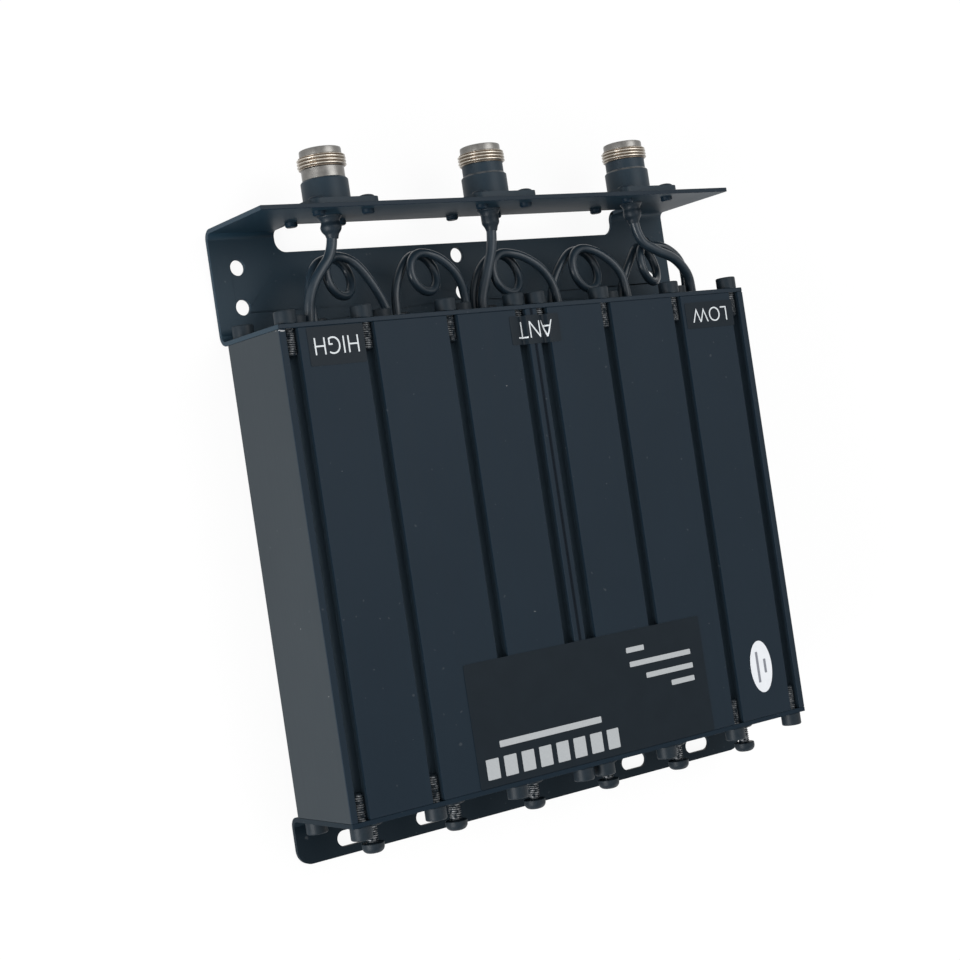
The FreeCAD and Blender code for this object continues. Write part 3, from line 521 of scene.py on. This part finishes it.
cableLine = {"roundness": 6, "steps": 10}
portCable = {
    "diameter": 3.5, "spigot": 3.0,
    "high": {"straight": 8.0, "cavity": 1,
             "points": [(9.8, 16.5, 1.1), (6.4, 10.5, 0.3), (5.5, 3.5, -0.7), (5.5, -2.5, -0.7)]},
    "ant": {"straight": 8.0, "cavity": 3,
            "points": [(12.4, 13.5, 0.3), (10.4, 7.0, -0.9), (9.6, 2.5, -1.3), (9.6, -2.5, -1.3)]},
    "low": {"straight": 10.0, "cavity": 6,
            "points": [(-8.5, 17.3, 2.4), (0.0, 14.5, 1.9), (6.0, 8.5, 0.9), (7.0, 3.0, 0.2), (7.0, -2.5, 0.2)]},
}
jumper = {                                # curl: z of the turn's start and end; turn: degrees; lean: z per height
    "diameter": 3.0, "curlCorners": 8,
    "routes": [
        {"rise": [(8.5, -2.5, -3.1), (8.5, 4.0, -3.1), (8.6, 12.5, -4.0), (12.4, 20.6, -5.4)],
         "centre": (4.6, 16.4), "curl": (-6.3, -2.0), "radius": 6.6, "turn": -20, "lean": -0.22,
         "fall": [(-4.6, 20.4, -2.9), (0.9, 11.8, -2.2), (5.0, 3.0, -2.7), (5.0, -2.5, -2.7)]},
        {"rise": [(9.4, -2.5, -5.0), (9.4, 4.0, -5.0), (10.2, 11.0, -5.1), (13.6, 18.0, -5.0)],
         "centre": (5.2, 15.8), "curl": (-5.6, -1.4), "radius": 6.6, "turn": -14, "lean": -0.2,
         "fall": [(-3.0, 19.8, -2.3), (2.6, 13.6, -2.0), (5.1, 5.0, -3.8), (5.1, -2.5, -3.8)]},
        {"rise": [(8.9, -2.5, -5.1), (8.9, 3.5, -5.1), (10.0, 10.0, -5.1), (13.6, 16.6, -4.9)],
         "centre": (6.9, 13.8), "curl": (-5.3, -1.2), "radius": 7.0, "turn": -12, "lean": -0.2,
         "fall": [(-0.5, 18.6, -1.7), (5.8, 13.5, -0.5), (9.5, 5.5, -0.3), (9.5, -2.5, -0.3)]},
        {"rise": [(9.4, -2.5, -4.3), (9.4, 3.5, -4.3), (12.0, 10.5, -4.4), (17.0, 16.8, -4.6)],
         "centre": (9.5, 13.4), "curl": (-5.3, -1.0), "radius": 7.3, "turn": -12, "lean": -0.2,
         "fall": [(2.0, 17.4, -1.4), (7.3, 11.5, -0.3), (8.9, 4.5, -0.3), (8.9, -2.5, -0.3)]},
        {"rise": [(9.1, -2.5, -4.3), (9.1, 3.5, -4.3), (12.0, 10.0, -4.5), (16.8, 16.2, -4.9)],
         "centre": (7.6, 13.8), "curl": (-6.0, -1.7), "radius": 6.9, "turn": -24, "lean": -0.22,
         "fall": [(0.4, 19.6, -2.6), (6.8, 13.8, -2.4), (8.4, 5.0, -3.8), (7.4, -2.5, -3.8)]},
    ],
}


def abovePlate(anchor, point):
    x, rise, z = point
    return (anchor + x * mm, plateTop + rise * mm, cavityZ + z * mm)


def addCable(name, points, diameter):
    curve = bpy.data.curves.new(name, "CURVE")
    curve.dimensions = "3D"
    curve.bevel_depth = diameter / 2 * mm
    curve.bevel_resolution = cableLine["roundness"]
    curve.use_fill_caps = True
    curve.resolution_u = cableLine["steps"]
    spline = curve.splines.new("NURBS")
    spline.points.add(len(points) - 1)
    for target, point in zip(spline.points, points):
        target.co = (*point, 1)
    spline.order_u = 3
    spline.use_endpoint_u = True
    piece = addPiece(f"{name}_line", curve, plain["cableJacket"], replaced=(name,))
    line = curve.copy()                   # a copy of the line without its thickness, made into a mesh
    line.bevel_depth = 0
    bare = bpy.data.objects.new("bareLine", line)
    stretch = bpy.data.meshes.new_from_object(bare)
    bpy.data.objects.remove(bare)


def portCablePoints(port):
    route = portCable[port]
    start = lipUnder - portCable["spigot"] * mm
    anchor = cavityX[route["cavity"] - 1]
    straight = [(socketX[port], start, socketZ), (socketX[port], start - route["straight"] * mm, socketZ)]
    return straight + [abovePlate(anchor, point) for point in route["points"]]


def jumperPoints(number):
    route = jumper["routes"][number]
    corners = jumper["curlCorners"]
    first, second = cavityX[number], cavityX[number + 1]
    centreX, centreRise = route["centre"]
    firstZ, lastZ = route["curl"]
    reach = route["radius"] / math.cos(math.pi / corners)
    facing = math.radians(route["turn"])
    turn = []
    for step in range(corners + 2):
        angle = math.pi / 2 + math.pi / corners - 2 * math.pi * step / corners
        z = firstZ + (lastZ - firstZ) * step / (corners + 1)
        across, up = reach * math.cos(angle), reach * math.sin(angle)
        turn.append((centreX + across * math.cos(facing), centreRise + up,
                     z + across * math.sin(facing) + up * route["lean"]))
    return ([abovePlate(first, point) for point in route["rise"]]
            + [abovePlate((first + second) / 2, point) for point in turn]
            + [abovePlate(second, point) for point in route["fall"]])


for port in ports:
    addCable(f"port_cable_{port}", portCablePoints(port), portCable["diameter"])
for number in range(5):
    addCable(f"jumper_cable_{number + 1}", jumperPoints(number), jumper["diameter"])
print("cables laid")


# Sockets: a square flange and a turned shell with a true 5/8-24 thread.

socket = {
    "flange": 25.4, "flangeThick": 2.2, "flangeCorner": 3.0, "shell": 7.75, "shellTop": 10.4, "chamfer": 0.7,
    "fillet": 1.2, "neck": 7.0, "threadStart": 13.9, "threadEnd": 17.8, "crest": 7.9375, "root": 7.28,
    "pitch": 1.0583, "lead": 6.85, "leadChamfer": 0.6, "top": 20.2, "bore": 4.2, "boreFloor": 5.0,
    "spigot": 2.6, "spigotBore": 1.9, "spigotEnd": -4.5, "sides": 112, "wear": 0.15, "wearAngle": 60,
}
plating = {                               # ring is the worn band at the shell's upper edge, in mm above the lip
    "bright": {"deep": rgb(0.095, 0.093, 0.089), "light": rgb(0.235, 0.228, 0.215)},
    "thread": {"deep": rgb(0.15, 0.112, 0.080), "light": rgb(0.43, 0.395, 0.345)},
    "black": {"deep": rgb(0.0085, 0.0180, 0.0270), "light": rgb(0.0140, 0.0270, 0.0390)},
    "ring": (9.75, 10.05, 10.30, 10.60), "smudges": 420, "grain": 2600, "mirror": 0.18,
    "high": {"paintTop": 10.35, "wornRing": 0.0},
    "ant": {"paintTop": 13.75, "wornRing": 0.55},
    "low": {"paintTop": 13.75, "wornRing": 0.75},
}


def socketPlating(paintTop, wornRing):    # black paint up to a height above the lip, nickel over it
    def recipe(start):
        place = objectPlace(start)
        height = along(start, place, "Y")
        smudges = noise(start, place, plating["smudges"], 4)
        uneven = height + (smudges - 0.5) * (0.5 * mm)
        bare = ramp(start, uneven, (paintTop - 0.15) * mm, (paintTop + 0.1) * mm)
        ring = band(start, height, *plating["ring"]) * wornRing * ramp(start, smudges, 0.35, 0.6)
        metal = start.node("Math", {"operation": "MAXIMUM"}, {0: bare, 1: ring})
        crest = ramp(start, crestOf(start), 0.05, 0.35)
        low, high = socket["threadStart"] - 0.2, socket["threadEnd"]
        isThread = band(start, height, low, low + 0.1, high, high + 0.1)
        plated = between(start, isThread, mottled(start, smudges, plating["bright"]),
                         mottled(start, crest, plating["thread"]))
        return {
            "Base Color": between(start, metal, mottled(start, smudges, plating["black"]), plated),
            "Metallic": metal * 0.9,
            "Roughness": 0.42 - metal * 0.14 + smudges * 0.10,
            "Specular IOR Level": plating["mirror"],
            "Normal": bump(start, noise(start, place, plating["grain"], 2), 0.2, 0.02),
        }
    return recipe


def buildSocket(shape):
    s = socket
    roundedPlate(shape, s["flange"], s["flange"], s["flangeCorner"], s["flangeThick"])
    for vertex in shape.verts:            # the flange lies across the socket's axis
        vertex.co = (vertex.co.x, vertex.co.z, -vertex.co.y)
    rows = [(s["spigot"], s["spigotEnd"]), (s["spigot"], 0.3), (s["shell"], 0.3)]
    rows += [(s["shell"] + s["fillet"], s["flangeThick"] - 0.2)]
    rows += arcRows(s["shell"] + s["fillet"], s["flangeThick"] + s["fillet"], s["fillet"], 270, 180)
    rows += [(s["shell"], s["shellTop"] - s["chamfer"] - 0.15), (s["shell"] - 0.05, s["shellTop"] - s["chamfer"])]
    rows += [(s["neck"] + 0.08, s["shellTop"] - 0.05), (s["neck"], s["shellTop"])]
    rows += [(s["neck"], s["threadStart"] - 0.25)]
    rows += threadRows(s["threadStart"] - 0.1, s["threadEnd"], s["crest"], s["root"], s["pitch"], 12, 0.45)
    rows += [(s["lead"], s["threadEnd"] + 0.1), (s["lead"], s["top"] - s["leadChamfer"])]
    rows += [(s["lead"] - 0.12, s["top"] - 0.2), (s["lead"] - s["leadChamfer"], s["top"])]
    rows += [(s["bore"] + s["leadChamfer"], s["top"]), (s["bore"], s["top"] - s["leadChamfer"])]
    rows += [(s["bore"], s["boreFloor"]), (s["spigotBore"], s["boreFloor"]), (s["spigotBore"], s["spigotEnd"])]
    turned(shape, rows, s["sides"], ring=True)


for port in ports:
    shape = bmesh.new()
    buildSocket(shape)
    shell = addPiece(f"socket_{port}", smoothMesh(f"socket_{port}", shape, 30),
                     finish(f"socketPlating_{port}", socketPlating(**plating[port])),
                     at=(socketX[port], lipTop, socketZ), replaced=(f"socket_body_{port}",))
    wearEdges(shell, socket["wear"], socket["wearAngle"])
print("sockets turned")


# Flange rivets.

rivet = {"pitch": 18.26, "head": 2.8, "headHeight": 1.1, "rim": 0.15, "dome": 75, "hole": 0.8, "holeDepth": 0.5,
         "tail": 2.05, "tailHeight": 1.45, "tailRound": 0.4, "shank": 1.5, "sides": 32}


def buildRivet(shape):
    r = rivet
    seat = socket["flangeThick"]
    under = -sheet / mm
    end = under - r["tailHeight"]
    rows = [(0, end), (r["tail"] - r["tailRound"], end), (r["tail"], end + r["tailRound"])]
    rows += [(r["tail"], under), (r["shank"], under), (r["shank"], seat)]
    rows += [(r["head"], seat), (r["head"], seat + r["rim"])]
    inner = r["hole"] + r["rim"]
    dome = math.radians(r["dome"])
    for step in range(1, 7):
        slant = dome * step / 6
        inwards = (math.cos(slant) - math.cos(dome)) / (1 - math.cos(dome))
        upwards = math.sin(slant) / math.sin(dome)
        rise = r["rim"] + (r["headHeight"] - r["rim"]) * upwards
        rows.append((inner + (r["head"] - inner) * inwards, seat + rise))
    top = seat + r["headHeight"]
    rows += [(r["hole"], top - 0.1), (r["hole"], top - r["holeDepth"]), (0, top - r["holeDepth"])]
    turned(shape, rows, r["sides"])


offsets = (-rivet["pitch"] / 2 * mm, rivet["pitch"] / 2 * mm)
rivetPlaces = [(socketX[port] + x, lipTop, socketZ + z) for port in ports for x in offsets for z in offsets]
addPiece("flange_rivet_domes", copied("flangeRivets", buildRivet, rivetPlaces),
         finish("rivetPaint", blackPaint(paint["block"])), replaced=("flange_rivets",))


# Boots over the sockets' spigots.

boot = {                                  # profile is (radius, height, share of the bulge), from the lip down
    "bulge": {"high": 0.45, "ant": 0.0, "low": 0.2}, "sides": 48,
    "profile": [(3.95, 0.0, 0), (3.9, -0.45, 0), (3.45, -1.0, 0), (3.05, -2.1, 0), (3.05, -3.5, 1.0),
                (2.95, -4.8, 0.5), (2.35, -5.9, 0), (2.05, -6.8, 0), (1.9, -7.4, 0)],
    "inside": [(1.75, -7.4), (1.75, -3.0), (2.6, -3.0), (2.6, 0.0)],
}


def smoothLine(points, steps=4):          # a smooth line through the points
    line = []
    for index in range(len(points) - 1):
        before = points[max(0, index - 1)]
        first, second = points[index], points[index + 1]
        after = points[min(len(points) - 1, index + 2)]
        for step in range(steps):
            t = step / steps
            line.append(tuple(
                0.5 * (2 * b + (c - a) * t + (2 * a - 5 * b + 4 * c - d) * t ** 2 + (3 * b - a - 3 * c + d) * t ** 3)
                for a, b, c, d in zip(before, first, second, after)))
    return line + [points[-1]]


for port in ports:
    shape = bmesh.new()
    outside = [(radius + boot["bulge"][port] * share, height) for radius, height, share in boot["profile"]]
    turned(shape, smoothLine(outside) + boot["inside"], boot["sides"], ring=True)
    addPiece(f"boot_{port}_tube", smoothMesh(f"boot_{port}_tube", shape, 50), plain["shrinkTube"],
             at=(socketX[port], lipUnder, socketZ), replaced=(f"boot_{port}",))
print("rivets and boots made")


# Socket head screws with threaded shanks.

capScrew = {"shank": 2.1, "root": 1.76, "pitch": 0.7, "length": 10.0, "head": 3.5, "height": 4.2, "round": 0.45,
            "key": 3.2, "keyDepth": 2.2, "sides": 36}


def buildCapScrew(shape):
    c = capScrew
    key = hexagon(c["key"])
    rows = [(0, -c["length"]), (c["root"] - 0.3, -c["length"])]
    rows += threadRows(-c["length"] + 0.2, -0.3, c["shank"], c["root"], c["pitch"], 6, 0.4)
    rows += [(c["shank"], 0.0), (c["head"] - 0.25, 0.0), (c["head"], 0.25)]
    rows += arcRows(c["head"] - c["round"], c["height"] - c["round"], c["round"], 0, 90, 4)
    rows += [(lambda angle: key(angle) + 0.18, c["height"]), (key, c["height"] - 0.18)]
    rows += [(key, c["height"] - c["keyDepth"]), (0, c["height"] - c["keyDepth"] - 0.5)]
    turned(shape, rows, c["sides"])


screwSets = {                             # places, and whether the screws stand head down
    "top_cap_screws": ([(x, plateTop, z) for x, z in screwPlaces], False),
    "bottom_cap_screws": ([(x, plateBottom, z) for x, z in screwPlaces], True),
    "rod_screws": ([(x, plateTop, cavityZ) for x in cavityX], False),
}
for node, (places, turnedOver) in screwSets.items():
    mesh = copied(node, buildCapScrew, places, turnedOver, 40)
    addPiece(f"{node}_threaded", mesh, capScrewFinish, replaced=(node,))


# Tuning screws with a crossed recess, and their lock nuts.

tuning = {"shank": 2.0, "root": 1.66, "pitch": 0.7, "inside": 26.0, "standout": 12.0, "head": 3.65,
          "headHeight": 3.2, "round": 2.0, "slot": 0.9, "slotDepth": 1.1, "sides": 36}


def crossShape(shape):                    # one crossed prism that cuts the recess
    t = tuning
    half = t["slot"] / 2
    reach = t["head"] / 2
    end = -t["standout"]
    outline = [(-reach, -half), (-half, -half), (-half, -reach), (half, -reach), (half, -half), (reach, -half),
               (reach, half), (half, half), (half, reach), (-half, reach), (-half, half), (-reach, half)]
    low, high = ([shape.verts.new((x * mm, height * mm, z * mm)) for x, z in outline]
                 for height in (end - 1, end + t["slotDepth"]))
    closedBetween(shape, low, high)


def buildTuningScrew(shape):
    t = tuning
    end = -t["standout"]
    seat = end + t["headHeight"]
    rows = [(0, t["inside"]), (t["root"] - 0.4, t["inside"])]
    rows += list(reversed(threadRows(seat + 0.2, t["inside"] - 0.2, t["shank"], t["root"], t["pitch"], 6, 0.4)))
    rows += [(t["shank"], seat), (t["head"] - 0.15, seat), (t["head"], seat - 0.15)]
    rows += arcRows(t["head"] - t["round"], end + t["round"], t["round"], 0, -90, 7)
    rows += [(0, end - 0.001)]
    turned(shape, rows, t["sides"])


shape = bmesh.new()
crossShape(shape)
cutter = bpy.data.objects.new("recess", smoothMesh("recess", shape))
bpy.context.collection.objects.link(cutter)
shape = bmesh.new()
buildTuningScrew(shape)
pattern = bpy.data.objects.new("tuningPattern", smoothMesh("tuningPattern", shape, 40))
bpy.context.collection.objects.link(pattern)
cut = pattern.modifiers.new("recess", "BOOLEAN")
cut.operation = "DIFFERENCE"
cut.object = cutter
bpy.context.view_layer.update()
tuningMesh = bpy.data.meshes.new_from_object(pattern.evaluated_get(bpy.context.evaluated_depsgraph_get()))
for spare in (pattern, cutter):
    bpy.data.objects.remove(spare)
for number, x in enumerate(cavityX, start=1):
    addPiece(f"tuning_screw_{number}_threaded", tuningMesh.copy(), tuningFinish, body=f"tuning_screw_{number}",
             at=(x, plateBottom, cavityZ), replaced=(f"tuning_screw_{number}",))

lockNut = {"flats": 7.0, "height": 3.2, "bore": 2.05, "chamfer": 0.45, "sides": 48}


def buildLockNut(shape):
    n = lockNut
    outer = hexagon(n["flats"])
    faceRadius = n["flats"] / 2 - 0.1
    corner = n["flats"] / math.sqrt(3)
    steps = [0, 0.25, 0.5, 0.75, 1]
    rows = [(n["bore"], -0.2), (n["bore"] + 0.25, 0.0)]
    rows += [(smallerOf(outer, faceRadius + (corner - faceRadius) * s), -n["chamfer"] * s) for s in steps]
    rows += [(smallerOf(outer, faceRadius + (corner - faceRadius) * s), -n["height"] + n["chamfer"] * s)
             for s in reversed(steps)]
    rows += [(n["bore"] + 0.25, -n["height"]), (n["bore"], -n["height"] + 0.25)]
    turned(shape, rows, n["sides"], ring=True)


nutMesh = copied("lockNuts", buildLockNut, [(x, plateBottom, cavityZ) for x in cavityX], angle=30)
addPiece("lock_nuts_chamfered", nutMesh, nutFinish, replaced=("lock_nuts",))
print("screws and nuts made")


# Labels: thin films on the front faces. The port names read with the sockets downwards.

label = {                                 # dip, dipReach and dipStep bend a film down over the screw channels
    "film": 0.12, "ink": 0.03, "corner": 0.6, "thin": -0.014, "dip": 0.85, "dipReach": 2.1, "dipStep": 0.3,
}
portLabels = {                            # letters are the word's width and height
    "high": {"word": "HIGH", "x": -76.5, "rise": 146.1, "width": 20.2, "height": 12.1, "letters": (15.9, 5.5)},
    "ant": {"word": "ANT", "x": 0.6, "rise": 145.5, "width": 20.4, "height": 9.6, "letters": (14.4, 5.6)},
    "low": {"word": "LOW", "x": 78.6, "rise": 145.2, "width": 22.4, "height": 9.3, "letters": (16.2, 5.1)},
}


def dipIntoChannels(mesh, x):             # bends a mesh centred at x down over the open screw channels
    reach = label["dipReach"] * mm
    shape = bmesh.new()
    shape.from_mesh(mesh)
    middles = [centre - x * mm for centre in channelX]
    count = round(label["dipReach"] / label["dipStep"])
    for middle in middles:
        for step in range(-count, count + 1):
            bmesh.ops.bisect_plane(shape, geom=shape.verts[:] + shape.edges[:] + shape.faces[:],
                                   plane_co=(middle + step * label["dipStep"] * mm, 0, 0), plane_no=(1, 0, 0))
    for vertex in shape.verts:
        away = min(abs(vertex.co.x - middle) for middle in middles)
        if away < reach:
            vertex.co.z -= label["dip"] * mm * (0.5 + 0.5 * math.cos(math.pi * away / reach))
    shape.to_mesh(mesh)
    shape.free()


def addFilm(name, x, rise, width, height, corner, material, lift=0.0, thick=None, dips=False):
    shape = bmesh.new()
    roundedPlate(shape, width, height, corner, thick or label["film"])
    mesh = smoothMesh(name, shape, 25)
    if dips:
        dipIntoChannels(mesh, x)
    addPiece(name, mesh, material, at=(x * mm, blockLow.y + rise * mm, frontZ + lift * mm))


def addWord(name, word, x, rise, width, height, dips=False):
    line = bpy.data.curves.new(name, "FONT")
    line.body = word
    line.extrude = label["ink"] / 2 * mm
    line.resolution_u = 6
    line.offset = label["thin"]
    writer = bpy.data.objects.new(name, line)
    mesh = bpy.data.meshes.new_from_object(writer)
    bpy.data.objects.remove(writer)
    xs = [vertex.co.x for vertex in mesh.vertices]
    ys = [vertex.co.y for vertex in mesh.vertices]
    lowest = min(vertex.co.z for vertex in mesh.vertices)
    wide, tall = max(xs) - min(xs), max(ys) - min(ys)
    for vertex in mesh.vertices:          # scaled to its box, centred, and turned upside down
        vertex.co = (-((vertex.co.x - min(xs)) / wide - 0.5) * width * mm,
                     -((vertex.co.y - min(ys)) / tall - 0.5) * height * mm, vertex.co.z - lowest)
    if dips:
        dipIntoChannels(mesh, x)
    addPiece(name, mesh, plain["whiteInk"], at=(x * mm, blockLow.y + rise * mm, frontZ + label["film"] * mm))


for port, plate in portLabels.items():
    dips = port == "ant"                  # the middle label spans the two channels beside the seam
    addFilm(f"port_label_{port}", plate["x"], plate["rise"], plate["width"], plate["height"], label["corner"],
            plain["labelFilm"], dips=dips)
    addWord(f"port_name_{port}", plate["word"], plate["x"], plate["rise"], *plate["letters"], dips=dips)

dataLabel = {                             # bars and blocks stand for print: x, rise, width and height
    "film": (2.1, 20.3, 100.0, 40.3), "filmCorner": 0.8, "barCorner": 0.3,
    "bars": [(-17.3, 13.2, 42.0, 2.1), (41.3, 19.7, 10.4, 1.8), (36.1, 24.1, 21.0, 1.8),
             (32.7, 28.9, 27.2, 1.8), (22.3, 33.8, 7.8, 1.8)],
    "block": (-42.1, 5.9, 5.0, 6.6), "blocks": 8, "blockPitch": 7.1,
}
addFilm("data_label", *dataLabel["film"], dataLabel["filmCorner"], plain["labelFilm"])
firstX, *block = dataLabel["block"]
blocks = [(firstX + dataLabel["blockPitch"] * index, *block) for index in range(dataLabel["blocks"])]
for number, bar in enumerate(dataLabel["bars"] + blocks, start=1):
    addFilm(f"data_bar_{number}", *bar, dataLabel["barCorner"], plain["greyBarInk"], label["film"], label["ink"])

sticker = {"x": 78.1, "rise": 17.9, "width": 10.0, "height": 18.5, "thick": 0.1, "sides": 48,
           "marks": [(-1.6, 0.0, 1.1, 11.0), (1.8, 0.0, 1.1, 5.0)], "markCorner": 0.2}


def buildOval(shape):
    angles = [2 * math.pi * side / sticker["sides"] for side in range(sticker["sides"])]
    outline = [(sticker["width"] / 2 * math.cos(angle), sticker["height"] / 2 * math.sin(angle))
               for angle in angles]
    flatPlate(shape, outline, sticker["thick"])


shape = bmesh.new()
buildOval(shape)
addPiece("round_sticker", smoothMesh("round_sticker", shape, 20), plain["stickerPaper"],
         at=(sticker["x"] * mm, blockLow.y + sticker["rise"] * mm, frontZ))
for number, (x, rise, width, height) in enumerate(sticker["marks"], start=1):
    addFilm(f"sticker_mark_{number}", sticker["x"] + x, sticker["rise"] + rise, width, height,
            sticker["markCorner"], plain["greyInk"], sticker["thick"], label["ink"])
print("labels laid")


# Studio: pale floor, soft light, and the camera at the photograph's angle.

studio = {                                # in metres, apart from floorDrop
    "floorGlow": 0.92, "floorTone": 0.92, "floorSize": 4, "floorDrop": 0.6, "worldStrength": 0.55,
    "target": (0, -0.08, 0.02),
    "lights": [
        {"name": "leftSoft", "at": (-1.2, -0.40, 0.24), "size": 0.9, "power": 30.0},
        {"name": "topSoft", "at": (0.5, 0.6, 1.7), "size": 1.3, "power": 10.0},
        {"name": "frontSoft", "at": (0.35, 0.15, 1.0), "size": 0.7, "power": 2.9},
        {"name": "lowSoft", "at": (0.75, -0.80, 0.20), "size": 0.5, "power": 2.4},
    ],
}


def paleRays(start):                      # 1 for the rays that see a plain white background
    camera, glossy, through = (start.node("LightPath", out=f"Is {kind} Ray")
                               for kind in ("Camera", "Glossy", "Transmission"))
    return camera + glossy + through


def floorPaper():
    material = bpy.data.materials.new("floorPaper")
    material.use_nodes = True
    material.node_tree.nodes.clear()
    start = Wire(material.node_tree)
    tone = studio["floorTone"]
    paper = start.node("BsdfDiffuse", {}, {"Color": rgb(tone, tone, tone)})
    glow = start.node("Emission", {}, {"Color": rgb(1, 1, 1), "Strength": 1.0})
    mixed = start.node("MixShader", {}, {0: paleRays(start) * studio["floorGlow"], 1: paper, 2: glow})
    start.node("OutputMaterial", {}, {"Surface": mixed})
    return material


shape = bmesh.new()
bmesh.ops.create_grid(shape, x_segments=1, y_segments=1, size=studio["floorSize"])
floor = bpy.data.objects.new("floor", smoothMesh("floor", shape))
bpy.context.collection.objects.link(floor)
floor.location = (0, studio["target"][1], -studio["floorDrop"] * mm)
floor.data.materials.append(floorPaper())

world = bpy.data.worlds.new("studio")
bpy.context.scene.world = world
world.use_nodes = True
world.node_tree.nodes.clear()
sky = Wire(world.node_tree)
soft = sky.node("Background", {}, {"Color": rgb(1, 1, 1), "Strength": studio["worldStrength"]})
white = sky.node("Background", {}, {"Color": rgb(1, 1, 1), "Strength": 1.0})
mixed = sky.node("MixShader", {}, {0: paleRays(sky), 1: soft, 2: white})
sky.node("OutputWorld", {}, {"Surface": mixed})

target = Vector(studio["target"])
for lamp in studio["lights"]:
    data = bpy.data.lights.new(lamp["name"], "AREA")
    data.shape = "SQUARE"
    data.size = lamp["size"]
    data.energy = lamp["power"]
    light = bpy.data.objects.new(lamp["name"], data)
    bpy.context.collection.objects.link(light)
    light.location = lamp["at"]
    light.rotation_euler = (target - Vector(lamp["at"])).to_track_quat("-Z", "Y").to_euler()

view = {                                  # the camera's place and its own three axes
    "place": (-369.3, -77.1, 531.8), "lens": 69.1, "sensor": 36.0, "near": 0.01,
    "right": (0.8154, -0.14751, 0.55979), "up": (0.11785, 0.98904, 0.08895),
    "forward": (0.56677, 0.00656, -0.82385),
}
lensData = bpy.data.cameras.new("camera")
lensData.lens = view["lens"]
lensData.sensor_width = view["sensor"]
lensData.sensor_fit = "HORIZONTAL"
lensData.clip_start = view["near"]
camera = bpy.data.objects.new("camera", lensData)
bpy.context.collection.objects.link(camera)
columns = [Vector(view["right"]), Vector(view["up"]), -Vector(view["forward"])]
camera.matrix_world = Matrix.Translation(Vector(view["place"]) * mm) @ Matrix(columns).transposed().to_4x4()
bpy.context.scene.camera = camera
bpy.context.scene.view_settings.view_transform = "Standard"
print("studio set")
